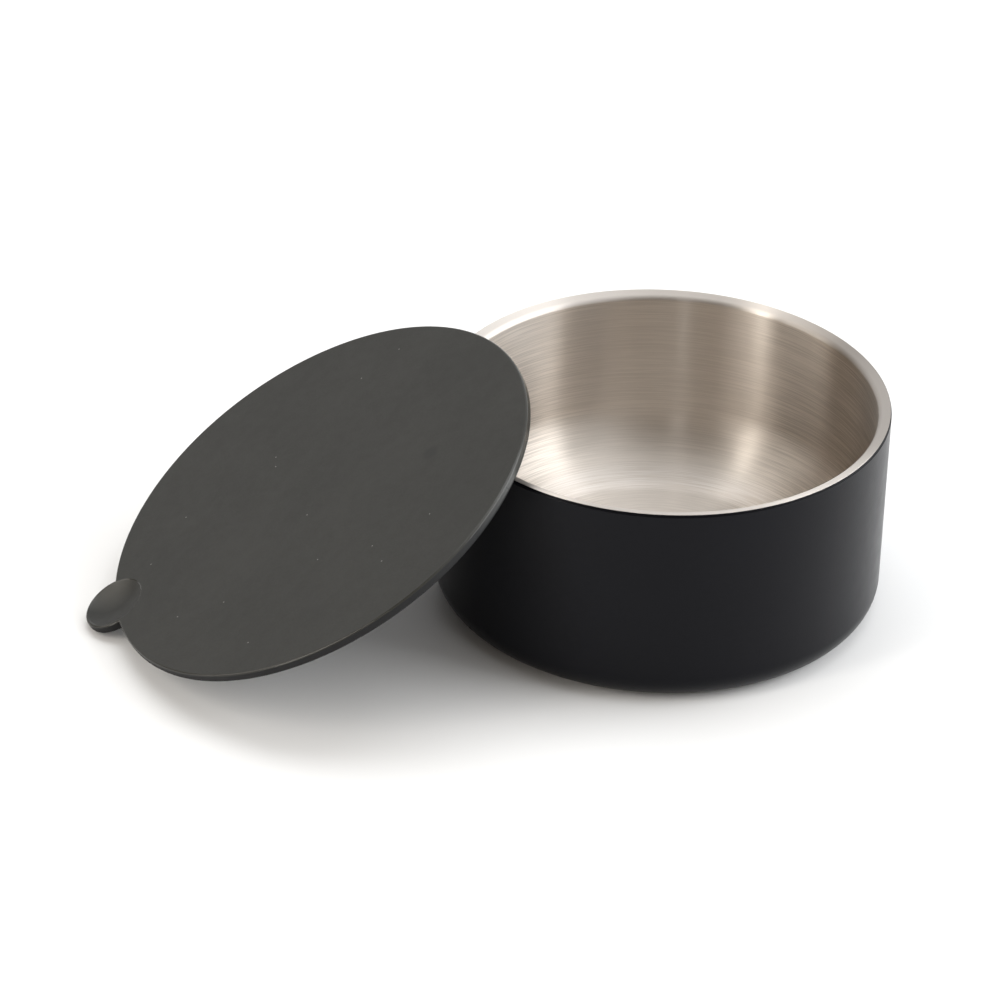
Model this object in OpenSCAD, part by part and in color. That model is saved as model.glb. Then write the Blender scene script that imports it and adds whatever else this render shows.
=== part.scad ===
// Insulated bowl with two steel walls, and a loose lid that leans on its rim.
// Millimetres. The origin is the middle of the foot, on the table, and +Z is up.
// The lid leans towards -X: its tab stands on the table and its underside lies on the rim.

/* [Bowl] */
// Outside diameter of the coated shell
bowl_d = 160; // [140:1:190]
// Height from the table to the top of the lip
bowl_h = 77; // [66:1:96]
// Thickness of the steel sheet of both walls
sheet = 0.6; // [0.4:0.05:0.9]
// Outer radius of the corner between the wall and the bottom
base_round = 10; // [6:0.5:16]
// Height of the inner floor above the table
floor_h = 9; // [7.5:0.5:13]
// Inner radius of the corner between the liner's wall and its floor
floor_round = 22; // [14:1:28]

/* [Lip] */
// Width of the bare steel lip, seen from above
lip_w = 4.4; // [4:0.1:7]
// Slope of the lip, down towards the inside, in degrees
lip_slope = 14; // [5:1:30]
// Radius of the lip's inner edge
lip_inner_round = 2; // [1:0.1:3]
// Radius of the lip's outer edge
lip_outer_round = 0.4; // [0.2:0.05:0.8]
// Height of the bare steel band between the lip's top and the coat
lip_drop = 1; // [0.9:0.1:3]
// Step from the coat's face in to the bare lip
coat_step = 0.2; // [0.05:0.05:0.35]

/* [Foot] */
// Diameter of the non-slip pad
pad_d = 100; // [76:1:130]
// Thickness of the pad
pad_t = 2; // [1.4:0.1:3]
// How far the pad stands out below the steel
pad_proud = 0.6; // [0.3:0.1:1]
// Room round the pad in its recess
pad_fit = 0.4; // [0.2:0.1:0.8]
// Width of each groove in the pad's underside
groove_w = 2; // [1:0.1:4]
// Depth of each groove
groove_depth = 0.6; // [0.3:0.1:1]
// Distance from groove to groove, and from the outer groove to the pad's edge
groove_pitch = 10; // [6:0.5:12]
// Number of grooves
groove_count = 3; // [1:1:3]

/* [Vacuum] */
// Diameter of the dimple round the evacuation hole
dimple_d = 16; // [13:0.5:24]
// Depth of the dimple above the pad's recess
dimple_depth = 2; // [1.6:0.1:2.8]
// Diameter of the evacuation hole
hole_d = 4; // [2:0.5:6]
// Diameter of the glass bead that closes the hole
bead_d = 10; // [8:0.5:12]
// Thickness of the glass bead below the steel
bead_t = 1.2; // [0.6:0.1:1.5]
// Bare height of the liner's wall between the foil and the lip
foil_margin = 6.9; // [2:0.1:10]
// Thickness of the foil
foil_t = 0.15; // [0.1:0.05:0.4]
// Diameter of the getter pill
getter_d = 10; // [6:0.5:16]
// Thickness of the getter pill
getter_t = 1.6; // [0.8:0.1:2.2]
// Distance of the getter from the bowl's axis
getter_reach = 30; // [20:1:38]

/* [Lid] */
// How far the lid reaches past the shell all round
lid_overhang = 3; // [1.5:0.5:5]
// Thickness of the lid inside its plug
panel_t = 2; // [1.6:0.1:3]
// Thickness of the lid's edge
edge_t = 3.6; // [3.2:0.1:5]
// Radius of the upper edge of the lid and the tab
edge_round = 0.8; // [0.4:0.1:1]
// Radius of their lower edge
under_round = 1.2; // [0.6:0.1:1.6]
// Room between the plug and the bowl's mouth, which the seal fills
plug_gap = 2; // [1.6:0.1:2.8]
// Wall of the plug
plug_w = 1.6; // [1.2:0.1:2.4]
// Distance from the underside of the lid's edge down to the seal
seal_drop = 0.4; // [0.1:0.1:1]
// Height of the seal ring
seal_h = 2.2; // [1.8:0.1:2.4]
// Thickness of the seal ring behind its fins
seal_w = 1; // [0.6:0.1:1.2]
// Thickness of each fin of the seal
fin_t = 0.6; // [0.4:0.05:0.7]
// How far the fins are wider than the bowl's mouth
seal_squeeze = 0.3; // [0.1:0.05:0.5]
// Height of the toe that keeps the seal on the plug
toe_t = 0.7; // [0.5:0.1:0.9]
// How far the toe stands out from the plug
toe_w = 0.7; // [0.4:0.1:1]

/* [Tab] */
// Diameter of the thumb tab, whose middle is on the lid's edge
tab_d = 24; // [18:0.5:30]
// Thickness of the tab
tab_t = 3.8; // [3.4:0.1:5.4]
// Diameter of the thumb dish
dish_d = 22; // [14:0.1:22.2]
// Depth of the thumb dish
dish_depth = 2.5; // [1:0.1:2.6]

/* [Resting lid] */
// Distance from the lid's middle to where its underside lies on the rim
rim_contact = 51.8; // [46:0.1:56]
// Turn of the tab away from the lowest point of the lid, in degrees
tab_turn = 9.2; // [-20:0.1:20]
// Air left between the lid and what it leans on
rest_gap = 0.3; // [0.2:0.05:0.6]

/* [Hidden] */
$fn = 160;
// Extra length of every cut
overrun = 1;
// Room between pieces that are put together once
fit = 0.1;

// Bowl, from the outside in
bowl_r = bowl_d / 2;
lip_r = bowl_r - coat_step;
mouth_r = lip_r - lip_w;
weld_z = bowl_h - lip_drop;
lip_inner_x = mouth_r + lip_inner_round;
lip_inner_z = bowl_h - lip_outer_round + (lip_outer_round - lip_inner_round
    - sin(lip_slope) * (lip_w - lip_inner_round - lip_outer_round)) / cos(lip_slope);
lip_foot_z = min(lip_inner_z, weld_z) - sheet;
liner_back_z = floor_h - sheet;

// Foot
pad_r = pad_d / 2;
recess_r = pad_r + pad_fit;
dimple_r = dimple_d / 2;
hole_r = hole_d / 2;
dimple_z = pad_t + dimple_depth;

// Getter under the liner's floor
getter_r = getter_d / 2;
holder_r = getter_r + fit + sheet;
holder_h = getter_t + 2 * sheet;

// Lid, with its top face at z = 0
lid_r = bowl_r + lid_overhang;
plug_r = mouth_r - plug_gap;
plug_inner_r = plug_r - plug_w;
seal_top_z = -edge_t - seal_drop;
seal_foot_z = seal_top_z - seal_h;
plug_foot_z = seal_foot_z - fit - toe_t;
seal_inner_r = plug_r + fit;
seal_outer_r = mouth_r + seal_squeeze;
tab_r = tab_d / 2;
dish_r = dish_d / 2;
dish_ball_r = (dish_r * dish_r + dish_depth * dish_depth) / (2 * dish_depth);

// Slope of the lid: the tab's lower edge is rest_gap above the table,
// and the underside is rest_gap above the lip's round outer edge.
tab_ring_r = tab_r - under_round;
tab_ring_z = under_round - tab_t;
lip_ring_x = lip_outer_round - lip_r;
lip_ring_z = bowl_h - lip_outer_round;
lip_depth = panel_t + rest_gap + lip_outer_round;
span_along = rim_contact + lid_r * cos(tab_turn) + tab_ring_r;
span_across = lip_depth + tab_ring_z;
span_rise = lip_ring_z - rest_gap - under_round;
slope = asin(span_rise / norm([span_along, span_across])) + atan2(span_across, span_along);
lid_x = lip_ring_x - rim_contact * cos(slope) - lip_depth * sin(slope);
lid_z = lip_ring_z - rim_contact * sin(slope) + lip_depth * cos(slope);

// Half section of a filled cup: a flat bottom, a straight wall and a round corner
module cup_section(radius, bottom, top, corner) {
    translate([0, bottom]) square([radius - corner, top - bottom]);
    translate([0, bottom + corner]) square([radius, top - bottom - corner]);
    translate([radius - corner, bottom + corner]) circle(corner);
}

// Waste that rounds a corner at the origin, of a shape that lies at +X and -Y of it
module corner_waste(radius) {
    difference() {
        translate([-overrun, -radius]) square([radius + overrun, radius + overrun]);
        translate([radius, -radius]) circle(radius);
    }
}

// Half section of a flat ring from radius inner to radius outer
module ring_section(inner, outer, bottom, top) {
    translate([inner, bottom]) square([outer - inner, top - bottom]);
}

// Waste above the sloping lip and its round inner edge, down to that depth below the lip's face
module lip_waste(depth) {
    edge_r = lip_inner_round - depth;
    translate([lip_inner_x, lip_inner_z]) {
        rotate(lip_slope) translate([-lip_w, edge_r]) square([2 * lip_w, lip_w]);
        difference() {
            translate([-lip_inner_round - overrun, 0])
                square([lip_inner_round + overrun - edge_r * sin(lip_slope), lip_w]);
            circle(edge_r);
        }
    }
}

// Waste that rounds the lip's outer edge
module lip_edge_waste() {
    translate([lip_r - lip_outer_round, bowl_h - lip_outer_round]) difference() {
        translate([-lip_outer_round * sin(lip_slope), 0])
            square([lip_outer_round * (1 + sin(lip_slope)) + overrun, lip_outer_round + 2 * overrun]);
        circle(lip_outer_round);
    }
}

// Sheet flared outwards over the top, and down to the weld
module flared_lip_section() {
    difference() {
        ring_section(mouth_r, lip_r, lip_foot_z, bowl_h + overrun);
        lip_waste(0);
        lip_edge_waste();
        difference() {
            ring_section(mouth_r + sheet, lip_r - sheet, lip_foot_z - overrun, bowl_h);
            lip_waste(sheet);
        }
        ring_section(lip_r - sheet, lip_r + overrun, lip_foot_z - overrun, weld_z);
    }
}

// Outer bowl, pressed in at the bottom for the pad and again for the evacuation hole
module outer_shell() {
    color("#1b1b1d") rotate_extrude() difference() {
        union() {
            difference() {
                cup_section(bowl_r, pad_proud, weld_z, base_round);
                cup_section(bowl_r - sheet, pad_proud + sheet, weld_z + overrun, base_round - sheet);
            }
            ring_section(0, recess_r + sheet, pad_proud, pad_t + sheet);
            ring_section(0, dimple_r + sheet, pad_t, dimple_z + sheet);
        }
        ring_section(0, recess_r, pad_proud - overrun, pad_t);
        ring_section(0, dimple_r, pad_t - overrun, dimple_z);
        ring_section(0, hole_r, dimple_z - overrun, dimple_z + sheet + overrun);
    }
}

// Inner bowl with its flared lip
module inner_liner() {
    color("#b9b2a8") rotate_extrude() {
        difference() {
            cup_section(mouth_r + sheet, liner_back_z, lip_foot_z + sheet / 2, floor_round + sheet);
            cup_section(mouth_r, floor_h, bowl_h, floor_round);
        }
        flared_lip_section();
    }
}

// Foil that lies round the straight part of the liner
module radiation_foil() {
    foil_inner_r = mouth_r + sheet + fit;
    foil_foot_z = floor_h + floor_round;
    foil_top_z = lip_foot_z - foil_margin;
    color("#c8ccd0") rotate_extrude()
        ring_section(foil_inner_r, foil_inner_r + foil_t, foil_foot_z, foil_top_z);
}

// Cup welded under the liner's floor, open downwards
module getter_holder() {
    color("#9a9a98") translate([getter_reach, 0, liner_back_z - holder_h]) difference() {
        cylinder(r = holder_r, h = holder_h);
        translate([0, 0, -overrun]) cylinder(r = holder_r - sheet, h = holder_h - sheet + overrun);
    }
}

// Pill pressed against the top of its cup
module getter() {
    color("#5d5a57") translate([getter_reach, 0, liner_back_z - sheet - getter_t]) cylinder(r = getter_r, h = getter_t);
}

// Glass that fills the hole and spreads under the dimple
module vacuum_seal() {
    color("#4f6a5c") {
        translate([0, 0, dimple_z - bead_t]) cylinder(d = bead_d, h = bead_t);
        translate([0, 0, dimple_z - bead_t]) cylinder(r = hole_r - fit, h = bead_t + sheet);
    }
}

// Pad with round grooves in its underside
module base_pad() {
    color("#2a2a2a") rotate_extrude() difference() {
        ring_section(0, pad_r, 0, pad_t);
        for (i = [1 : groove_count]) {
            groove_r = pad_r - i * groove_pitch;
            ring_section(groove_r - groove_w / 2, groove_r + groove_w / 2, -overrun, groove_depth);
        }
    }
}

// Places a piece of the lid, drawn with its top face at z = 0, on the rim and the table
module on_rim() {
    translate([lid_x, 0, lid_z]) rotate([0, -slope, 0]) children();
}

// Places a shape at the middle of the tab
module at_tab() {
    rotate([0, 0, -tab_turn]) translate([-lid_r, 0, 0]) children();
}

// Half section of a disc whose edge is round above and below
module edge_section(radius, thickness) {
    difference() {
        ring_section(0, radius, -thickness, 0);
        translate([radius, 0]) mirror([1, 0, 0]) corner_waste(edge_round);
        translate([radius, -thickness]) rotate(180) corner_waste(under_round);
    }
}

// Disc with a thicker edge, and the plug under it
module lid_disc() {
    rotate_extrude() {
        difference() {
            edge_section(lid_r, edge_t);
            ring_section(0, plug_inner_r, -edge_t - overrun, -panel_t);
        }
        ring_section(plug_inner_r, plug_r, plug_foot_z, -panel_t);
        ring_section(plug_inner_r, plug_r + toe_w, plug_foot_z, plug_foot_z + toe_t);
    }
}

// Round lobe on the lid's edge, outside the shell
module tab_lobe() {
    difference() {
        at_tab() rotate_extrude() edge_section(tab_r, tab_t);
        translate([0, 0, -tab_t - overrun]) cylinder(r = bowl_r + fit, h = tab_t + 2 * overrun);
    }
}

// Lid with its tab and the dish for the thumb
module lid_panel() {
    color("#494846") on_rim() difference() {
        union() {
            lid_disc();
            tab_lobe();
        }
        at_tab() translate([0, 0, dish_ball_r - dish_depth]) sphere(dish_ball_r);
    }
}

// Ring round the plug, with one fin at its top and one at its foot
module lid_seal() {
    color("#353534") on_rim() rotate_extrude() {
        ring_section(seal_inner_r, seal_inner_r + seal_w, seal_foot_z, seal_top_z);
        for (fin_z = [seal_foot_z, seal_top_z - fin_t]) {
            ring_section(seal_inner_r, seal_outer_r - fin_t / 2, fin_z, fin_z + fin_t);
            translate([seal_outer_r - fin_t / 2, fin_z + fin_t / 2]) circle(d = fin_t);
        }
    }
}

outer_shell();
inner_liner();
radiation_foil();
getter_holder();
getter();
vacuum_seal();
base_pad();
lid_panel();
lid_seal();
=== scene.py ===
import math

import bpy
from mathutils import Matrix, Vector


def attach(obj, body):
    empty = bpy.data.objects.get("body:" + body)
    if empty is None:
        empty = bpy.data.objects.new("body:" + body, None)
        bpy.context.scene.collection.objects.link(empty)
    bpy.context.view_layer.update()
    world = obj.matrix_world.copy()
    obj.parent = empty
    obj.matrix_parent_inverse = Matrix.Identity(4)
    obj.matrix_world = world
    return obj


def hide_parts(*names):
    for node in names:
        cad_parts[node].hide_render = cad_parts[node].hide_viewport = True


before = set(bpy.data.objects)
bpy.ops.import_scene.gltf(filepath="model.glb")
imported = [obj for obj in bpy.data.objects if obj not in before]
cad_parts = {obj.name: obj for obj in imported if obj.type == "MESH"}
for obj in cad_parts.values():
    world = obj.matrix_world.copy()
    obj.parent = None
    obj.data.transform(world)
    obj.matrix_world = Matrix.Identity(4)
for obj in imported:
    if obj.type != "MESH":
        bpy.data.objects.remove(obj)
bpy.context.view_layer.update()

# Sizes of the bowl, in metres. The lip's slope is in degrees.
MM = 0.001
BOWL_R = 80 * MM
BOWL_H = 77 * MM
SHEET = 0.6 * MM
BASE_ROUND = 10 * MM
FLOOR_H = 9 * MM
FLOOR_ROUND = 22 * MM
LIP_W = 4.4 * MM
LIP_SLOPE = 14
LIP_INNER_ROUND = 2 * MM
LIP_OUTER_ROUND = 0.4 * MM
LIP_DROP = 1 * MM
COAT_STEP = 0.2 * MM
COAT_EDGE_ROUND = 0.15 * MM
LIP_R = BOWL_R - COAT_STEP
MOUTH_R = LIP_R - LIP_W
WELD_Z = BOWL_H - LIP_DROP
FLOOR_EDGE_R = MOUTH_R - FLOOR_ROUND

# Sizes of the foot
PAD_R = 50 * MM
PAD_T = 2 * MM
PAD_PROUD = 0.6 * MM
PAD_FIT = 0.4 * MM
PAD_EDGE_ROUND = 0.4 * MM
GROOVE_W = 2 * MM
GROOVE_DEPTH = 0.6 * MM
GROOVE_PITCH = 10 * MM
GROOVE_COUNT = 3
PRESS_ROUND = 0.5 * MM
DIMPLE_R = 8 * MM
DIMPLE_DEPTH = 2 * MM
HOLE_R = 2 * MM
DIMPLE_Z = PAD_T + DIMPLE_DEPTH
RECESS_R = PAD_R + PAD_FIT

# Sizes of the lid, whose top face is at z = 0 in its own frame
LID_OVERHANG = 3 * MM
PANEL_T = 2 * MM
EDGE_T = 3.6 * MM
EDGE_ROUND = 0.8 * MM
UNDER_ROUND = 1.2 * MM
PLUG_GAP = 2 * MM
PLUG_W = 1.6 * MM
PLUG_ROUND = 0.3 * MM
TOE_T = 0.7 * MM
TOE_W = 0.7 * MM
FIT = 0.1 * MM
SEAL_DROP = 0.4 * MM
SEAL_H = 2.2 * MM
SEAL_W = 1 * MM
SEAL_SQUEEZE = 0.3 * MM
FIN_T = 0.6 * MM
GATE_R = 0.8 * MM
GATE_FOOT_R = 1.4 * GATE_R
GATE_H = 0.12 * MM
LID_R = BOWL_R + LID_OVERHANG
PLUG_R = MOUTH_R - PLUG_GAP
PLUG_INNER_R = PLUG_R - PLUG_W
SEAL_OUTER_R = MOUTH_R + SEAL_SQUEEZE
SEAL_TOP_Z = -EDGE_T - SEAL_DROP
SEAL_FOOT_Z = SEAL_TOP_Z - SEAL_H
PLUG_FOOT_Z = SEAL_FOOT_Z - FIT - TOE_T

# Sizes of the thumb tab, round the point TAB_TURN along the lid's edge
TAB_R = 12 * MM
TAB_TURN = math.radians(9.2)
DISH_R = TAB_R - EDGE_ROUND
DISH_DEPTH = 2.5 * MM
DISH_LIP_ROUND = 0.45 * MM
DISH_SLOPE = math.radians(31)

# How the lid lies on the rim and the table. The lean follows the tab of the CAD solid, SOLID_TAB_T thick.
SOLID_TAB_T = 3.8 * MM
RIM_CONTACT = 51.8 * MM
REST_GAP = 0.3 * MM
INSIDE_SCALE = 0.9999

# Columns round the bowl, the foot pad and the lid's edge, and along each half of the tab
COLUMNS = 256
PAD_COLUMNS = 160
LID_COLUMNS = 240
TAB_OUTER_COLUMNS = 56
TAB_INNER_COLUMNS = 48
EDGE_STEPS = 8
DISH_STEPS = 24

# Rings of a flat face, as shares of the way from its middle to its border
TOP_RINGS = (1, 0.9, 0.6, 0.3)
TAB_RINGS = (1, 0.6, 0.25, 0)
UP = Vector((0, 0, 1))
DOWN = Vector((0, 0, -1))

# Camera, from the outlines in the photo: places in metres, angles in degrees
SENSOR = 36.0
LENS = 5.0 * SENSOR
CAMERA_TURN = -17.79
CAMERA_REACH = 1.52918
CAMERA_HEIGHT = 0.95354
CAMERA_YAW = -2.128
CAMERA_PITCH = 31.074
CAMERA_ROLL = 1.961


def direction(azimuth, elevation):
    """Unit vector from the bowl, with the azimuth counted to the right from the camera."""
    turn, rise = math.radians(CAMERA_TURN + azimuth), math.radians(elevation)
    return Vector((math.sin(turn) * math.cos(rise), -math.cos(turn) * math.cos(rise), math.sin(rise)))


class Surface:
    """A mesh made of welded grids, which keeps the true normal of each face's corners."""

    WELD = 1e-6

    def __init__(self, name, place=Matrix()):
        self.name = name
        self.place = place
        self.points = []
        self.index = {}
        self.faces = []
        self.normals = []

    def point(self, position):
        key = tuple(round(c / self.WELD) for c in position)
        if key not in self.index:
            self.index[key] = len(self.points)
            self.points.append(Vector(position))
        return self.index[key]

    def face(self, corners):
        """corners: (position, normal) in order.

        Repeated points are dropped, and the face is turned to its normals.
        """
        kept = []
        for position, normal in corners:
            number = self.point(position)
            if number not in [k for k, _ in kept]:
                kept.append((number, Vector(normal)))
        if len(kept) < 3:
            return
        mean = sum((normal for _, normal in kept), Vector())
        area = Vector()
        first = self.points[kept[0][0]]
        for (a, _), (b, _) in zip(kept[1:], kept[2:]):
            area += (self.points[a] - first).cross(self.points[b] - first)
        if area.dot(mean) < 0:
            kept.reverse()
        self.faces.append([number for number, _ in kept])
        self.normals.extend(normal for _, normal in kept)

    def grid(self, rows, closed=False):
        """rows: lists of (position, normal) of one length. closed joins each row's end to its start."""
        count = len(rows[0])
        for upper, lower in zip(rows, rows[1:]):
            for k in range(count if closed else count - 1):
                after = (k + 1) % count
                self.face([upper[k], upper[after], lower[after], lower[k]])

    def build(self, body, replaces):
        mesh = bpy.data.meshes.new(self.name)
        mesh.from_pydata([self.place @ p for p in self.points], [], self.faces)
        mesh.polygons.foreach_set("use_smooth", [True] * len(mesh.polygons))
        turn = self.place.to_3x3()
        mesh.normals_split_custom_set([(turn @ n).normalized() for n in self.normals])
        mesh.update()
        piece = bpy.data.objects.new(self.name, mesh)
        bpy.context.scene.collection.objects.link(piece)
        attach(piece, body)
        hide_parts(replaces)
        return piece


# A section is a list of runs. A run is a list of (radius, height, normal) along one line or arc,
# with the air on its right-hand side.
def line(start, end, steps=1):
    across = Vector((end[1] - start[1], start[0] - end[0])).normalized()
    run = []
    for i in range(steps + 1):
        t = i / steps
        run.append((start[0] + (end[0] - start[0]) * t, start[1] + (end[1] - start[1]) * t, across))
    return run


def arc(centre, radius, start, end, steps):
    """Arc from angle start to angle end, in degrees. It is hollow where the angle falls."""
    side = 1 if end > start else -1
    run = []
    for i in range(steps + 1):
        a = math.radians(start + (end - start) * i / steps)
        out = Vector((math.cos(a), math.sin(a)))
        run.append((centre[0] + radius * out.x, centre[1] + radius * out.y, out * side))
    return run


def path(*points):
    """Straight runs from point to point."""
    return [line(a, b) for a, b in zip(points, points[1:])]


def turned(run, turns):
    """The rows of a grid: each point of the run, turned about the Z axis to each of the angles."""
    return [
        [
            (
                (radius * math.cos(t), radius * math.sin(t), height),
                (normal.x * math.cos(t), normal.x * math.sin(t), normal.y),
            )
            for t in turns
        ]
        for radius, height, normal in run
    ]


def revolve(surface, runs, columns=COLUMNS):
    turns = [2 * math.pi * k / columns for k in range(columns)]
    for run in runs:
        surface.grid(turned(run, turns), closed=True)


def outer_shell():
    shell = Surface("coated_shell")
    inner_r = BOWL_R - SHEET
    back_z = PAD_PROUD + SHEET
    corner = (BOWL_R - BASE_ROUND, PAD_PROUD + BASE_ROUND)
    press = (RECESS_R + PRESS_ROUND, PAD_PROUD + PRESS_ROUND)
    coat_edge = (BOWL_R - COAT_EDGE_ROUND, WELD_Z - COAT_EDGE_ROUND)
    revolve(shell, [
        *path((HOLE_R, DIMPLE_Z), (DIMPLE_R, DIMPLE_Z), (DIMPLE_R, PAD_T), (RECESS_R, PAD_T),
              (RECESS_R, press[1])),
        arc(press, PRESS_ROUND, 180, 270, steps=8),
        line((press[0], PAD_PROUD), (corner[0], PAD_PROUD), steps=4),
        arc(corner, BASE_ROUND, -90, 0, steps=32),
        line((BOWL_R, corner[1]), (BOWL_R, coat_edge[1]), steps=16),
        arc(coat_edge, COAT_EDGE_ROUND, 0, 90, steps=6),
        *path((coat_edge[0], WELD_Z), (inner_r, WELD_Z), (inner_r, corner[1])),
        arc(corner, BASE_ROUND - SHEET, 0, -90, steps=16),
        *path((corner[0], back_z), (RECESS_R + SHEET, back_z), (RECESS_R + SHEET, PAD_T + SHEET),
              (DIMPLE_R + SHEET, PAD_T + SHEET), (DIMPLE_R + SHEET, DIMPLE_Z + SHEET),
              (HOLE_R, DIMPLE_Z + SHEET), (HOLE_R, DIMPLE_Z)),
    ])
    return shell.build("bowl", "outer_shell")


def inner_liner():
    liner = Surface("brushed_liner")
    back_r = MOUTH_R + SHEET
    band_r = LIP_R - SHEET
    floor_corner = (FLOOR_EDGE_R, FLOOR_H + FLOOR_ROUND)
    fall, reach = math.sin(math.radians(LIP_SLOPE)), math.cos(math.radians(LIP_SLOPE))
    outer_lip = (LIP_R - LIP_OUTER_ROUND, BOWL_H - LIP_OUTER_ROUND)
    inner_x = MOUTH_R + LIP_INNER_ROUND
    drop = LIP_INNER_ROUND - LIP_OUTER_ROUND + fall * (outer_lip[0] - inner_x)
    inner_lip = (inner_x, outer_lip[1] - drop / reach)
    outer_edge = arc(outer_lip, LIP_OUTER_ROUND, 0, 90 + LIP_SLOPE, steps=12)
    inner_edge = arc(inner_lip, LIP_INNER_ROUND, 90 + LIP_SLOPE, 180, steps=16)
    back_edge = arc(inner_lip, LIP_INNER_ROUND - SHEET, 180, 90 + LIP_SLOPE, steps=8)
    back_x, back_z, _ = back_edge[-1]
    band_z = back_z + (band_r - back_x) * fall / reach
    revolve(liner, [
        line((LIP_R, WELD_Z), (LIP_R, outer_lip[1]), steps=2),
        outer_edge,
        line(outer_edge[-1][:2], inner_edge[0][:2], steps=4),
        inner_edge,
        line((MOUTH_R, inner_lip[1]), (MOUTH_R, floor_corner[1]), steps=20),
        arc(floor_corner, FLOOR_ROUND, 0, -90, steps=40),
        line((FLOOR_EDGE_R, FLOOR_H), (0, FLOOR_H), steps=12),
        line((0, FLOOR_H - SHEET), (FLOOR_EDGE_R, FLOOR_H - SHEET), steps=2),
        arc(floor_corner, FLOOR_ROUND + SHEET, -90, 0, steps=20),
        line((back_r, floor_corner[1]), (back_r, inner_lip[1])),
        back_edge,
        *path((back_x, back_z), (band_r, band_z), (band_r, WELD_Z), (LIP_R, WELD_Z)),
    ])
    return liner.build("bowl", "inner_liner")


def base_pad():
    pad = Surface("foot_pad")
    edge = PAD_EDGE_ROUND
    runs = []
    start = 0
    for i in range(GROOVE_COUNT, 0, -1):
        middle = PAD_R - i * GROOVE_PITCH
        inner, outer = middle - GROOVE_W / 2, middle + GROOVE_W / 2
        runs += [
            line((start, 0), (inner - edge, 0)),
            arc((inner - edge, edge), edge, -90, 0, steps=5),
            *path((inner, edge), (inner, GROOVE_DEPTH), (outer, GROOVE_DEPTH), (outer, edge)),
            arc((outer + edge, edge), edge, 180, 270, steps=5),
        ]
        start = outer + edge
    runs += [
        line((start, 0), (PAD_R - edge, 0)),
        arc((PAD_R - edge, edge), edge, -90, 0, steps=5),
        *path((PAD_R, edge), (PAD_R, PAD_T), (0, PAD_T)),
    ]
    revolve(pad, runs, PAD_COLUMNS)
    return pad.build("bowl", "base_pad")


def lean():
    """Where the lid lies: its slope follows from the table under the tab and the lip under the panel."""
    tab_x, tab_z = TAB_R - UNDER_ROUND, UNDER_ROUND - SOLID_TAB_T
    lip_x, lip_z = LIP_OUTER_ROUND - LIP_R, BOWL_H - LIP_OUTER_ROUND
    depth = PANEL_T + REST_GAP + LIP_OUTER_ROUND
    along = RIM_CONTACT + LID_R * math.cos(TAB_TURN) + tab_x
    across = depth + tab_z
    rise = lip_z - REST_GAP - UNDER_ROUND
    slope = math.asin(rise / math.hypot(along, across)) + math.atan2(across, along)
    x = lip_x - RIM_CONTACT * math.cos(slope) - depth * math.sin(slope)
    z = lip_z - RIM_CONTACT * math.sin(slope) + depth * math.cos(slope)
    return Matrix.Translation((x, 0, z)) @ Matrix.Rotation(-slope, 4, "Y")


def lid_place():
    """In the lid's own frame the tab is on +X, so that the outline is even about the X axis.

    The scale keeps the smooth outline inside the box of the faceted CAD solid.
    """
    return lean() @ Matrix.Rotation(math.pi - TAB_TURN, 4, "Z") @ Matrix.Scale(INSIDE_SCALE, 4)


def corner_angles(inset):
    """Where the outline of lid and tab, inset by that much, turns.

    Gives the angle at the lid's middle and the angle at the tab's middle.
    """
    lid_r, tab_r = LID_R - inset, TAB_R - inset
    x = (lid_r ** 2 - tab_r ** 2 + LID_R ** 2) / (2 * LID_R)
    y = math.sqrt(lid_r ** 2 - x ** 2)
    return math.atan2(y, x), math.atan2(y, x - LID_R)


def circle_points(middle, radius, start, end, count):
    """Points (x, y, outward x, outward y) from angle start to angle end of a circle about (middle, 0)."""
    turns = [start + (end - start) * k / count for k in range(count + 1)]
    return [
        (middle + radius * math.cos(t), radius * math.sin(t), math.cos(t), math.sin(t))
        for t in turns
    ]


def lid_arc(inset):
    """The inset outline along the lid's own edge."""
    at_lid, _ = corner_angles(inset)
    return circle_points(0, LID_R - inset, at_lid, 2 * math.pi - at_lid, LID_COLUMNS)


def tab_arc(inset, inner=False):
    """The inset outline along the tab's edge: its outer half, or the inner half, within the lid."""
    _, at_tab = corner_angles(inset)
    if inner:
        return circle_points(LID_R, TAB_R - inset, at_tab, 2 * math.pi - at_tab, TAB_INNER_COLUMNS)
    return circle_points(LID_R, TAB_R - inset, -at_tab, at_tab, TAB_OUTER_COLUMNS)


def shared_arc(inset):
    """The lid's own circle where the tab covers it."""
    at_lid, _ = corner_angles(inset)
    return circle_points(0, LID_R - inset, at_lid, -at_lid, TAB_INNER_COLUMNS)


def drawn_in(border, share, height, normal, middle=0):
    """A row of a flat face: the border, drawn in towards the point (middle, 0)."""
    return [((middle + (x - middle) * share, y * share, height), normal) for x, y, _, _ in border]


def edge_rows(outline):
    """Round upper edge, upright side and round lower edge along one stretch of the outline."""
    rows = []
    for k in range(EDGE_STEPS + 1):
        a = math.pi / 2 * k / EDGE_STEPS
        level, out = math.cos(a), math.sin(a)
        rows.append([
            ((x, y, EDGE_ROUND * (level - 1)), (out_x * out, out_y * out, level))
            for x, y, out_x, out_y in outline(EDGE_ROUND * (1 - out))
        ])
    for k in range(EDGE_STEPS + 1):
        a = math.pi / 2 * k / EDGE_STEPS
        level, out = math.sin(a), math.cos(a)
        rows.append([
            ((x, y, UNDER_ROUND * (1 - level) - EDGE_T), (out_x * out, out_y * out, -level))
            for x, y, out_x, out_y in outline(UNDER_ROUND * (1 - out))
        ])
    return rows


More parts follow.
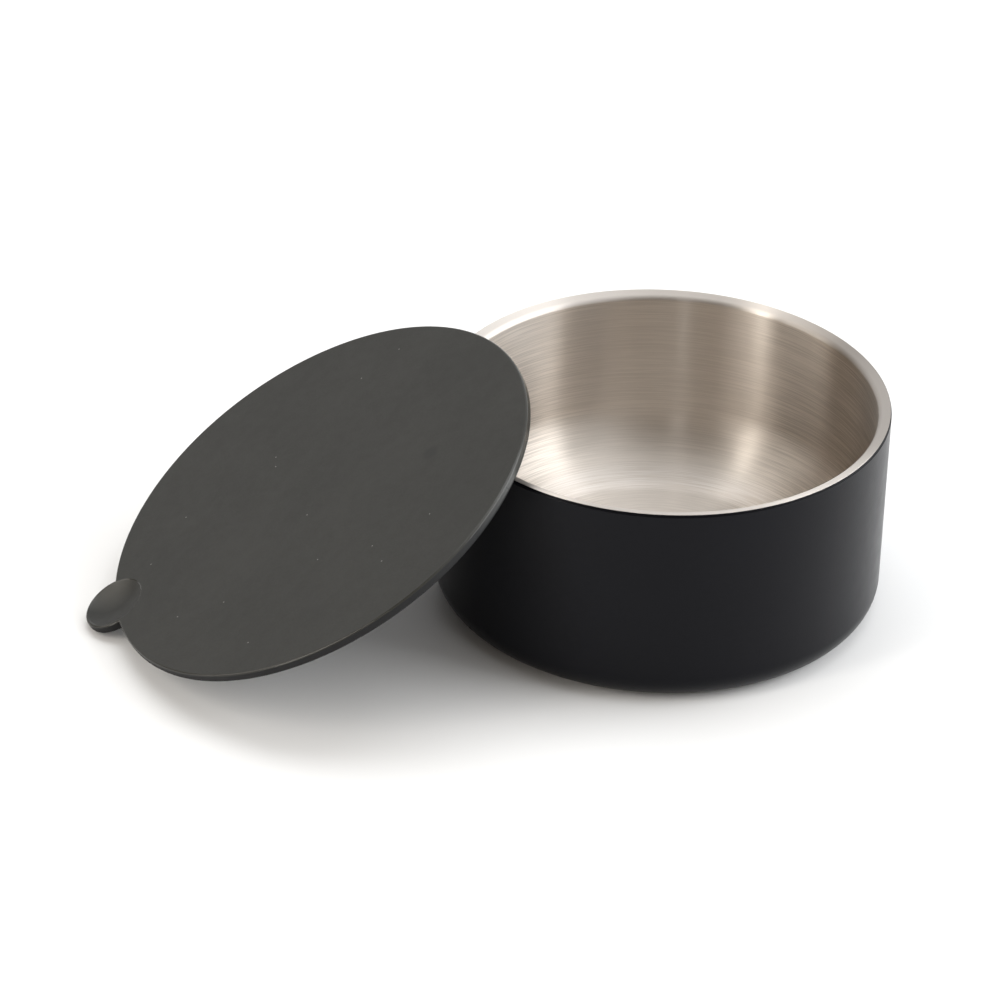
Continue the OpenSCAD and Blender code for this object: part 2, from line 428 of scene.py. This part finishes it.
def dish_section():
    """Half section of the dish, from its rim inwards: a small round lip, then a hollow that flattens."""
    run = arc((DISH_R, -DISH_LIP_ROUND), DISH_LIP_ROUND, 90, 90 + math.degrees(DISH_SLOPE), EDGE_STEPS)
    meet_r, meet_z, _ = run[-1]
    depth = DISH_DEPTH + meet_z
    power = math.tan(DISH_SLOPE) * meet_r / depth
    for k in range(1, DISH_STEPS + 1):
        share = 1 - k / DISH_STEPS
        slope = math.tan(DISH_SLOPE) * share ** (power - 1)
        run.append((meet_r * share, depth * share ** power - DISH_DEPTH, Vector((-slope, 1)).normalized()))
    return run


def lid_top(lid):
    """Rays from the gate mark in the middle to the lid's edge and to the tab's inner half."""
    for border in (lid_arc(EDGE_ROUND), tab_arc(EDGE_ROUND, inner=True)):
        rows = [drawn_in(border, share, 0, UP) for share in TOP_RINGS]
        for radius, height in ((GATE_FOOT_R, 0), (GATE_R, GATE_H), (0, GATE_H)):
            row = []
            for x, y, _, _ in border:
                reach = math.hypot(x, y)
                row.append(((x / reach * radius, y / reach * radius, height), UP))
            rows.append(row)
        lid.grid(rows)


def lid_dish(lid):
    """The dish of the tab, in an outer and an inner half."""
    for inner in (False, True):
        ring = tab_arc(EDGE_ROUND, inner=inner)
        lid.grid([
            [
                (
                    (LID_R + radius * out_x, radius * out_y, height),
                    (normal.x * out_x, normal.x * out_y, normal.y),
                )
                for _, _, out_x, out_y in ring
            ]
            for radius, height, normal in dish_section()
        ])


def tab_underside(lid):
    for border in (tab_arc(UNDER_ROUND), shared_arc(UNDER_ROUND)):
        lid.grid([drawn_in(border, share, -EDGE_T, DOWN, middle=LID_R) for share in TAB_RINGS])


def lid_underside(lid):
    """Panel, plug with its toe, and the flat rim round the plug."""
    edge = PLUG_ROUND
    toe_r, toe_z = PLUG_R + TOE_W, PLUG_FOOT_Z + TOE_T
    runs = [
        *path((0, -PANEL_T), (PLUG_INNER_R, -PANEL_T), (PLUG_INNER_R, PLUG_FOOT_Z + edge)),
        arc((PLUG_INNER_R + edge, PLUG_FOOT_Z + edge), edge, 180, 270, steps=4),
        line((PLUG_INNER_R + edge, PLUG_FOOT_Z), (toe_r - edge, PLUG_FOOT_Z)),
        arc((toe_r - edge, PLUG_FOOT_Z + edge), edge, -90, 0, steps=4),
        line((toe_r, PLUG_FOOT_Z + edge), (toe_r, toe_z - edge)),
        arc((toe_r - edge, toe_z - edge), edge, 0, 90, steps=4),
        *path((toe_r - edge, toe_z), (PLUG_R, toe_z), (PLUG_R, -EDGE_T)),
    ]
    for border in (lid_arc(UNDER_ROUND), shared_arc(UNDER_ROUND)):
        turns = [math.atan2(y, x) for x, y, _, _ in border]
        rim = [((PLUG_R * math.cos(t), PLUG_R * math.sin(t), -EDGE_T), DOWN) for t in turns]
        lid.grid([drawn_in(border, 1, -EDGE_T, DOWN), rim])
        for run in runs:
            lid.grid(turned(run, turns))


def lid_panel():
    lid = Surface("lid_with_tab", lid_place())
    lid_top(lid)
    lid_dish(lid)
    for outline in (lid_arc, tab_arc):
        lid.grid(edge_rows(outline))
    tab_underside(lid)
    lid_underside(lid)
    return lid.build("lid", "lid_panel")


def lid_seal():
    seal = Surface("seal_ring", lid_place())
    inner = PLUG_R + FIT
    back = inner + SEAL_W
    tip = SEAL_OUTER_R - FIN_T / 2
    low_fin, high_fin = SEAL_FOOT_Z + FIN_T, SEAL_TOP_Z - FIN_T
    revolve(seal, [
        *path((inner, SEAL_TOP_Z), (inner, SEAL_FOOT_Z), (tip, SEAL_FOOT_Z)),
        arc((tip, SEAL_FOOT_Z + FIN_T / 2), FIN_T / 2, -90, 90, steps=10),
        *path((tip, low_fin), (back, low_fin), (back, high_fin), (tip, high_fin)),
        arc((tip, SEAL_TOP_Z - FIN_T / 2), FIN_T / 2, -90, 90, steps=10),
        line((tip, SEAL_TOP_Z), (inner, SEAL_TOP_Z)),
    ])
    return seal.build("lid", "lid_seal")


class Nodes:
    """A node tree and short ways to add and join its nodes."""

    def __init__(self, tree):
        self.tree = tree
        self.where = self.node("TexCoord").outputs

    def node(self, kind, inputs=None, **settings):
        made = self.tree.nodes.new("ShaderNode" + kind)
        for name, value in settings.items():
            setattr(made, name, value)
        for name, value in (inputs or {}).items():
            self.put(value, made.inputs[name])
        return made

    def put(self, value, socket):
        """Joins another node's output to the socket, or sets the socket to a plain value."""
        if hasattr(value, "is_output"):
            self.tree.links.new(value, socket)
        else:
            socket.default_value = value

    def split(self, vector):
        return self.node("SeparateXYZ", {0: vector}).outputs[:3]

    def join(self, x, y, z=0.0):
        return self.node("CombineXYZ", {0: x, 1: y, 2: z}).outputs[0]

    def noise(self, scale, detail=2.0, roughness=0.5, vector=None):
        return self.node("TexNoise", {
            "Vector": vector or self.where["Object"],
            "Scale": scale,
            "Detail": detail,
            "Roughness": roughness,
        }).outputs["Fac"]

    def spread(self, value, low, high, start=0.3, end=0.7, **settings):
        """The value, moved from the range start..end to the range low..high and kept inside it."""
        return self.node("MapRange", {
            "Value": value,
            "From Min": start,
            "From Max": end,
            "To Min": low,
            "To Max": high,
        }, **settings).outputs["Result"]

    def blend(self, share, first, second):
        made = self.node("Mix", {"Factor": share}, data_type="RGBA")
        for name, colour in (("A", first), ("B", second)):
            socket = [i for i in made.inputs if i.name == name and i.type == "RGBA"][0]
            self.put(colour if hasattr(colour, "is_output") else (*colour, 1), socket)
        return [o for o in made.outputs if o.type == "RGBA"][0]

    def math(self, operation, first, second=0.0):
        return self.node("Math", {0: first, 1: second}, operation=operation).outputs[0]

    def plus(self, first, second):
        return self.math("ADD", first, second)

    def minus(self, first, second):
        return self.math("SUBTRACT", first, second)

    def times(self, first, second):
        return self.math("MULTIPLY", first, second)

    def over(self, first, second):
        return self.math("DIVIDE", first, second)

    def above(self, value, limit):
        """1 where the value is above the limit, and 0 elsewhere."""
        return self.math("GREATER_THAN", value, limit)

    def below(self, value, limit):
        """1 where the value is below the limit, and 0 elsewhere."""
        return self.math("LESS_THAN", value, limit)

    def dot(self, first, second):
        return self.node("VectorMath", {0: first, 1: second}, operation="DOT_PRODUCT").outputs["Value"]

    def distance(self, point):
        places = {0: self.where["Object"], 1: point}
        return self.node("VectorMath", places, operation="DISTANCE").outputs["Value"]

    def bump(self, height, strength, distance, normal=None):
        inputs = {"Height": height, "Strength": strength, "Distance": distance}
        if normal is not None:
            inputs["Normal"] = normal
        return self.node("Bump", inputs).outputs["Normal"]


class Shader(Nodes):
    """A material's nodes round its Principled shader."""

    def __init__(self, name):
        self.material = bpy.data.materials.new(name)
        self.material.use_nodes = True
        super().__init__(self.material.node_tree)
        self.surface = self.tree.nodes["Principled BSDF"]

    def set(self, **values):
        for name, value in values.items():
            self.surface.inputs[name.replace("_", " ")].default_value = value

    def link(self, output, name):
        self.tree.links.new(output, self.surface.inputs[name])

    def mottled(self, dark, light, scale, detail=2.0):
        """A colour that wanders between two tones."""
        self.link(self.blend(self.spread(self.noise(scale, detail), 0, 1), dark, light), "Base Color")

    def uneven(self, low, high, scale, detail=2.0):
        """A roughness that wanders between two values."""
        self.link(self.spread(self.noise(scale, detail), low, high), "Roughness")

    def grained(self, strength, distance, scale, detail=2.0):
        self.link(self.bump(self.noise(scale, detail), strength, distance), "Normal")


# Tones of the coat
COAT_DARK = (0.0012, 0.0012, 0.0021)
COAT_LIGHT = (0.0019, 0.0019, 0.0032)


def powder_coat():
    """Satin black with a fine orange peel."""
    coat = Shader("powder_coat")
    coat.set(Specular_IOR_Level=0.15, Specular_Tint=(0.93, 0.94, 1, 1))
    coat.mottled(COAT_DARK, COAT_LIGHT, scale=22, detail=3)
    coat.uneven(0.29, 0.33, scale=160, detail=4)
    peel = coat.bump(coat.noise(scale=1300), strength=0.10, distance=0.2 * MM)
    grain = coat.noise(scale=4200, detail=1)
    coat.link(coat.bump(grain, strength=0.05, distance=0.1 * MM, normal=peel), "Normal")
    return coat.material


# Tones of the steel: between the brush lines and on them, in the ring round the floor (a painted
# reflection), and on the lip
STEEL_DARK = (0.49, 0.450, 0.409)
STEEL_LIGHT = (0.67, 0.616, 0.561)
# A paler tone in the ring round the floor: a painted reflection.
STEEL_RING_PAINTED_LIGHT = (0.80, 0.758, 0.720)
STEEL_LIP = (0.51, 0.474, 0.440)

# Where the steel's zones fade in or out: heights and radii
LIP_FINISH_H = 2.2 * MM
LIP_FADE = 0.4 * MM
COAT_TOP_DROP = 0.07 * MM
LIP_FADE_Z = (BOWL_H - LIP_FINISH_H - LIP_FADE, BOWL_H - LIP_FINISH_H + LIP_FADE)
COAT_TOP_Z = BOWL_H - COAT_TOP_DROP
FILLET_FADE_Z = (FLOOR_H + 12 * MM, FLOOR_H + FLOOR_ROUND)
RING_FADE_Z = (FLOOR_H + 0.8 * MM, FLOOR_H + 3.5 * MM)
RING_FADE_R = (FLOOR_EDGE_R - 4 * MM, FLOOR_EDGE_R + 1 * MM)

# Brush lines: how much of them is fine, how faint they get in the middle of the back wall and on the lip,
# and the part of the noise that each use of them takes
FINE_SHARE = 0.75
FAINT_SHARE = 0.35
FAINT_FADE = (0.78, 0.94)
LIP_LINES_LOST = 0.7
WALL_NOISE = (0.43, 0.57)
RING_NOISE = (0.40, 0.60)
ROUGH_NOISE = (0.35, 0.65)

# Roughness of the steel between the lines and on them, and what each zone adds to it
STEEL_ROUGH = (0.31, 0.28)
FILLET_ROUGH = 0.12
RING_ROUGH = 0.08
LIP_ROUGH = 0.14


def brush_lines(steel, turn_x, turn_y, along):
    """Noise that is drawn out round the axis, fine and wide."""
    def arcs(round_scale, along_scale):
        vector = steel.join(
            steel.times(turn_x, round_scale),
            steel.times(turn_y, round_scale),
            steel.times(along, along_scale),
        )
        return steel.noise(scale=1.0, roughness=0.6, vector=vector)

    fine, wide = arcs(round_scale=3.0, along_scale=3000.0), arcs(round_scale=1.5, along_scale=1100.0)
    return steel.plus(steel.times(fine, FINE_SHARE), steel.times(wide, 1 - FINE_SHARE))


def brushed_steel():
    """Steel brushed round the bowl's axis, with a plainer lip whose outer side is under the coat."""
    steel = Shader("brushed_steel")
    steel.set(Anisotropic=1.0, Anisotropic_Rotation=0.25, Specular_IOR_Level=0.1)
    steel.link(steel.node("Tangent", direction_type="RADIAL", axis="Z").outputs[0], "Tangent")
    x, y, z = steel.split(steel.where["Object"])
    radius = steel.math("SQRT", steel.plus(steel.times(x, x), steel.times(y, y)))
    turn_x, turn_y = steel.over(x, radius), steel.over(y, radius)
    brush = brush_lines(steel, turn_x, turn_y, steel.plus(radius, z))
    back_wall = steel.dot(steel.join(turn_x, turn_y), direction(180, 0))
    depth = steel.spread(back_wall, 1, FAINT_SHARE, *FAINT_FADE)

    lip = steel.spread(z, 0, 1, *LIP_FADE_Z)
    outside = steel.above(radius, LIP_R - LIP_OUTER_ROUND)
    coat = steel.times(outside, steel.below(z, COAT_TOP_Z))
    ring = steel.times(steel.spread(z, 1, 0, *RING_FADE_Z), steel.spread(radius, 0, 1, *RING_FADE_R))

    swing = steel.minus(steel.spread(brush, 0, 1, *WALL_NOISE), 0.5)
    wall = steel.blend(steel.plus(steel.times(swing, depth), 0.5), STEEL_DARK, STEEL_LIGHT)
    # Painted reflection: the ring round the floor is paler than the wall.
    pale = steel.blend(steel.spread(brush, 0, 1, *RING_NOISE), STEEL_LIGHT, STEEL_RING_PAINTED_LIGHT)
    tone = steel.blend(lip, steel.blend(ring, wall, pale), STEEL_LIP)
    steel.link(steel.blend(coat, tone, COAT_LIGHT), "Base Color")
    steel.link(steel.minus(1.0, coat), "Metallic")

    rough = steel.spread(brush, *STEEL_ROUGH, *ROUGH_NOISE)
    rough = steel.plus(rough, steel.spread(z, FILLET_ROUGH, 0, *FILLET_FADE_Z))
    rough = steel.plus(rough, steel.times(ring, RING_ROUGH))
    steel.link(steel.plus(rough, steel.times(lip, LIP_ROUGH)), "Roughness")
    kept_lines = steel.minus(1.0, steel.times(lip, LIP_LINES_LOST))
    lines = steel.times(steel.times(brush, depth), kept_lines)
    steel.link(steel.bump(lines, strength=0.10, distance=0.05 * MM), "Normal")
    return steel.material


# Tones of the lid, and the part of the noise that runs from the dark one to the light one
LID_DARK = (0.0162, 0.0161, 0.0139)
LID_LIGHT = (0.0206, 0.0204, 0.0179)
LID_NOISE = (0.4, 0.6)
# The sink mark's tone, also used as painted shade over the whole dish.
LID_SINK_AND_DISH_SHADE = (0.0130, 0.0130, 0.0115)
# Painted shade: the tone laid on the side and underside where they face downwards.
LID_SIDE_SHADE = (0.0060, 0.0060, 0.0064)
LID_DUST = (0.42, 0.41, 0.40)
# Painted light: a lighter tone on the dish's upper slope.
LID_DISH_PAINTED_LIGHT = (0.058, 0.0575, 0.053)
# Painted highlight: a lighter tone along the upper edge.
LID_EDGE_HIGHLIGHT = (0.085, 0.0845, 0.080)

# Marks on the lid and painted light and shade on it, and how much of their tone shows. Their places are in
# the frame that lean() gives.
SINK_MARK = Vector((42.3 * MM, -15.2 * MM, 0))
SINK_R = 2.8 * MM
SINK_FADE = (0.7 * SINK_R, 1.3 * SINK_R)
SINK_SHARE = 0.9
# A patch of painted light on the dish's upper slope.
DISH_LIGHT_SPOT = Vector((-82 * MM, 24.5 * MM, -1 * MM))
DISH_LIGHT_R = 12 * MM
DISH_LIGHT_FADE = (0.3 * DISH_LIGHT_R, DISH_LIGHT_R)
DISH_LIGHT_SHARE = 0.8
# How much painted shade darkens the dish.
DISH_SHADE_SHARE = 0.55
# How much of the painted highlight shows on the edge.
EDGE_HIGHLIGHT_SHARE = 0.15
DUST_SHARE = 0.4

# Dust: cells in one metre, a speck's radius in cells, the share of cells without a speck, and its reach
DUST_SCALE = 62.0
DUST_R = 0.014
DUST_FREE = 0.72
DUST_REACH = 72 * MM

# Where the lid's zones fade: a normal's height along the lid's own up, or along the frame's for the tilt
FLAT = 0.99
EDGE_FADE = (0.95, FLAT)
SIDE_FADE = (0.15, 0.6)
# SIDE_SHADE_TILT_FADE fades the side's painted shade out as the side turns upwards.
SIDE_SHADE_TILT_FADE = (0.28, 0.42)

# Roughness of the lid, and what the upper edge takes from it and the side adds to it
LID_ROUGH = (0.45, 0.51)
EDGE_POLISH = 0.35
SIDE_ROUGH = 0.5


def lid_dust(lid, level):
    """Specks on the flat top: a small disc in some cells of a flat pattern."""
    x, y, _ = lid.split(lid.where["Object"])
    spots = {"Vector": lid.join(x, y), "Scale": DUST_SCALE}
    cells = lid.node("TexVoronoi", spots, voronoi_dimensions="2D")
    near = lid.below(cells.outputs["Distance"], DUST_R)
    some = lid.above(lid.node("SeparateColor", {0: cells.outputs["Color"]}).outputs[0], DUST_FREE)
    top = lid.times(lid.above(level, FLAT), lid.below(lid.distance(lean().translation), DUST_REACH))
    return lid.times(lid.times(near, some), top)


def lid_plastic():
    """Fine matt plastic: a sink mark and dust on top, a smooth upper edge with a painted highlight,
    painted shade in the dish and on the down-facing side, and painted light in the dish.
    """
    lid = Shader("lid_plastic")
    lid.set(Specular_IOR_Level=0.27)
    place = lean()
    level = lid.dot(lid.where["Normal"], place.to_3x3() @ UP)
    _, _, tilt = lid.split(lid.where["Normal"])
    from_tab = lid.distance(lid_place() @ Vector((LID_R, 0, 0)))

    dish = lid.below(from_tab, DISH_R)
    around_dish = lid.above(from_tab, DISH_R - DISH_LIP_ROUND)
    edge = lid.times(around_dish, lid.spread(level, 1, 0, *EDGE_FADE))
    # Painted shade: side and underside are darkened where they face down.
    side = lid.times(lid.spread(level, 1, 0, *SIDE_FADE), lid.spread(tilt, 1, 0, *SIDE_SHADE_TILT_FADE))
    sink = lid.spread(lid.distance(place @ SINK_MARK), SINK_SHARE, 0, *SINK_FADE)
    # Painted light on the dish's upper slope.
    dish_light = lid.spread(lid.distance(place @ DISH_LIGHT_SPOT), DISH_LIGHT_SHARE, 0, *DISH_LIGHT_FADE)

    mottle = lid.plus(lid.times(lid.noise(35, 4), 0.5), lid.times(lid.noise(1300), 0.5))
    tone = lid.blend(lid.spread(mottle, 0, 1, *LID_NOISE), LID_DARK, LID_LIGHT)
    for share, colour in (
        (sink, LID_SINK_AND_DISH_SHADE),
        # Painted shade over the whole dish.
        (lid.times(dish, DISH_SHADE_SHARE), LID_SINK_AND_DISH_SHADE),
        (lid.times(dish_light, dish), LID_DISH_PAINTED_LIGHT),
        (lid.times(lid_dust(lid, level), DUST_SHARE), LID_DUST),
        # Painted highlight along the upper edge.
        (lid.times(edge, EDGE_HIGHLIGHT_SHARE), LID_EDGE_HIGHLIGHT),
        (side, LID_SIDE_SHADE),
    ):
        tone = lid.blend(share, tone, colour)
    lid.link(tone, "Base Color")

    rough = lid.minus(lid.spread(lid.noise(220, 3), *LID_ROUGH), lid.times(edge, EDGE_POLISH))
    lid.link(lid.plus(rough, lid.times(side, SIDE_ROUGH)), "Roughness")
    grain = lid.bump(lid.noise(2600), strength=0.10, distance=0.1 * MM)
    lid.link(lid.bump(lid.noise(45), strength=0.03, distance=0.3 * MM, normal=grain), "Normal")
    return lid.material


def silicone(name, dark, light, rough):
    rubber = Shader(name)
    rubber.mottled(dark, light, scale=60, detail=3)
    rubber.uneven(rough - 0.06, rough + 0.06, scale=400)
    rubber.grained(strength=0.08, distance=0.1 * MM, scale=1800)
    return rubber.material


def bright_foil():
    foil = Shader("bright_foil")
    foil.set(Metallic=1.0)
    foil.mottled(dark=(0.72, 0.73, 0.75), light=(0.84, 0.85, 0.87), scale=90, detail=3)
    foil.uneven(0.15, 0.28, scale=300)
    foil.grained(strength=0.35, distance=0.4 * MM, scale=140, detail=5)
    return foil.material


def pressed_powder():
    powder = Shader("pressed_powder")
    powder.set(Metallic=0.6)
    powder.mottled(dark=(0.07, 0.066, 0.062), light=(0.14, 0.135, 0.13), scale=2500)
    powder.uneven(0.6, 0.8, scale=900)
    powder.grained(strength=0.3, distance=0.1 * MM, scale=2200, detail=3)
    return powder.material


def solder_glass():
    glass = Shader("solder_glass")
    glass.set(IOR=1.6, Transmission_Weight=0.5)
    glass.mottled(dark=(0.05, 0.10, 0.075), light=(0.09, 0.16, 0.12), scale=500, detail=3)
    glass.uneven(0.08, 0.2, scale=700)
    glass.grained(strength=0.15, distance=0.1 * MM, scale=600)
    return glass.material


def pale_floor():
    card = Shader("pale_floor")
    card.mottled(dark=(0.69, 0.69, 0.69), light=(0.71, 0.71, 0.71), scale=3)
    card.uneven(0.65, 0.75, scale=8)
    return card.material


def paint(thing, material):
    thing.data.materials.clear()
    thing.data.materials.append(material)


def paint_node(name, material):
    """CAD nodes keep their mesh: only the material of each slot changes."""
    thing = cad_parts[name]
    if not thing.material_slots:
        thing.data.materials.append(material)
    for place in thing.material_slots:
        place.material = material


# Pieces and their materials
steel = brushed_steel()
paint(outer_shell(), powder_coat())
paint(inner_liner(), steel)
paint(base_pad(), silicone("foot_silicone", (0.014, 0.014, 0.014), (0.020, 0.020, 0.020), rough=0.62))
paint(lid_panel(), lid_plastic())
paint(lid_seal(), silicone("seal_silicone", (0.030, 0.030, 0.029), (0.040, 0.040, 0.039), rough=0.45))
paint_node("radiation_foil", bright_foil())
paint_node("getter_holder", steel)
paint_node("getter", pressed_powder())
paint_node("vacuum_seal", solder_glass())


# Stage: a pale floor, soft boxes above and on both sides, and a bright surround
FLOOR_HALF = 12.0
TARGET = Vector((0, 0, 0.05))
WHITE = (1, 1, 1)
WARM = (1, 0.96, 0.90)
COOL = (0.965, 0.985, 1)


def floor():
    half = FLOOR_HALF
    mesh = bpy.data.meshes.new("floor")
    corners = [(-half, -half, 0), (half, -half, 0), (half, half, 0), (-half, half, 0)]
    mesh.from_pydata(corners, [], [(0, 1, 2, 3)])
    thing = bpy.data.objects.new("floor", mesh)
    bpy.context.scene.collection.objects.link(thing)
    paint(thing, pale_floor())


def soft_box(name, low, high, distance, width, brightness, tint=WHITE):
    """Rectangular light whose middle line runs from direction low to direction high.

    Directions are (azimuth, elevation), as seen from the bowl.
    """
    start, end = direction(*low) * distance, direction(*high) * distance
    along, back = end - start, (start + end).normalized()
    data = bpy.data.lights.new(name, "AREA")
    data.shape = "RECTANGLE"
    data.color = tint
    data.size, data.size_y = width, along.length
    data.energy = brightness * math.pi * width * along.length
    light = bpy.data.objects.new(name, data)
    turn = Matrix((along.normalized().cross(back), along.normalized(), back)).transposed().to_4x4()
    light.matrix_world = Matrix.Translation(TARGET + (start + end) / 2) @ turn
    bpy.context.scene.collection.objects.link(light)


def surround(bright, dark, dark_azimuth, dark_from):
    """Bright surround with a darker, warmer side, as behind a photographer.

    dark_from is the cosine, to the dark side's middle, from which the surround is fully dark.
    """
    world = bpy.data.worlds.new("surround")
    bpy.context.scene.world = world
    world.use_nodes = True
    nodes = Nodes(world.node_tree)
    facing = nodes.dot(nodes.where["Generated"], direction(dark_azimuth, 0))
    share = nodes.spread(facing, 0, 1, 0, dark_from, interpolation_type="SMOOTHSTEP")
    background = nodes.tree.nodes["Background"]
    nodes.put(nodes.blend(share, bright, dark), background.inputs["Color"])
    background.inputs["Strength"].default_value = 1.0


def camera():
    data = bpy.data.cameras.new("camera")
    data.sensor_width, data.lens = SENSOR, LENS
    thing = bpy.data.objects.new("camera", data)
    thing.matrix_world = (
        Matrix.Rotation(math.radians(CAMERA_TURN), 4, "Z")
        @ Matrix.Translation((0, -CAMERA_REACH, CAMERA_HEIGHT))
        @ Matrix.Rotation(math.radians(-CAMERA_YAW), 4, "Z")
        @ Matrix.Rotation(math.radians(90 - CAMERA_PITCH), 4, "X")
        @ Matrix.Rotation(math.radians(CAMERA_ROLL), 4, "Z")
    )
    bpy.context.scene.collection.objects.link(thing)
    bpy.context.scene.camera = thing


floor()
soft_box("top_box", low=(180, 67), high=(0, 87), distance=1.6, width=1.8, brightness=2.9, tint=COOL)
soft_box("right_panel", low=(85, 4), high=(102, 40), distance=1.6, width=1.6, brightness=5.9, tint=COOL)
soft_box("left_strip", low=(-50, 5), high=(-58, 48), distance=1.5, width=0.19, brightness=11.0, tint=WARM)
soft_box("left_fill", low=(-41, 5), high=(-47, 42), distance=1.5, width=0.26, brightness=1.9, tint=WARM)
soft_box("left_panel", low=(-75, 5), high=(-87, 38), distance=1.5, width=0.75, brightness=2.7, tint=WARM)
soft_box("slit", low=(-8, 6), high=(-9, 40), distance=1.5, width=0.025, brightness=8.0)
surround(bright=(1.05, 1.05, 1.05), dark=(0.166, 0.123, 0.078), dark_azimuth=-45, dark_from=0.48)
camera()
bpy.context.scene.view_settings.view_transform = "Standard"
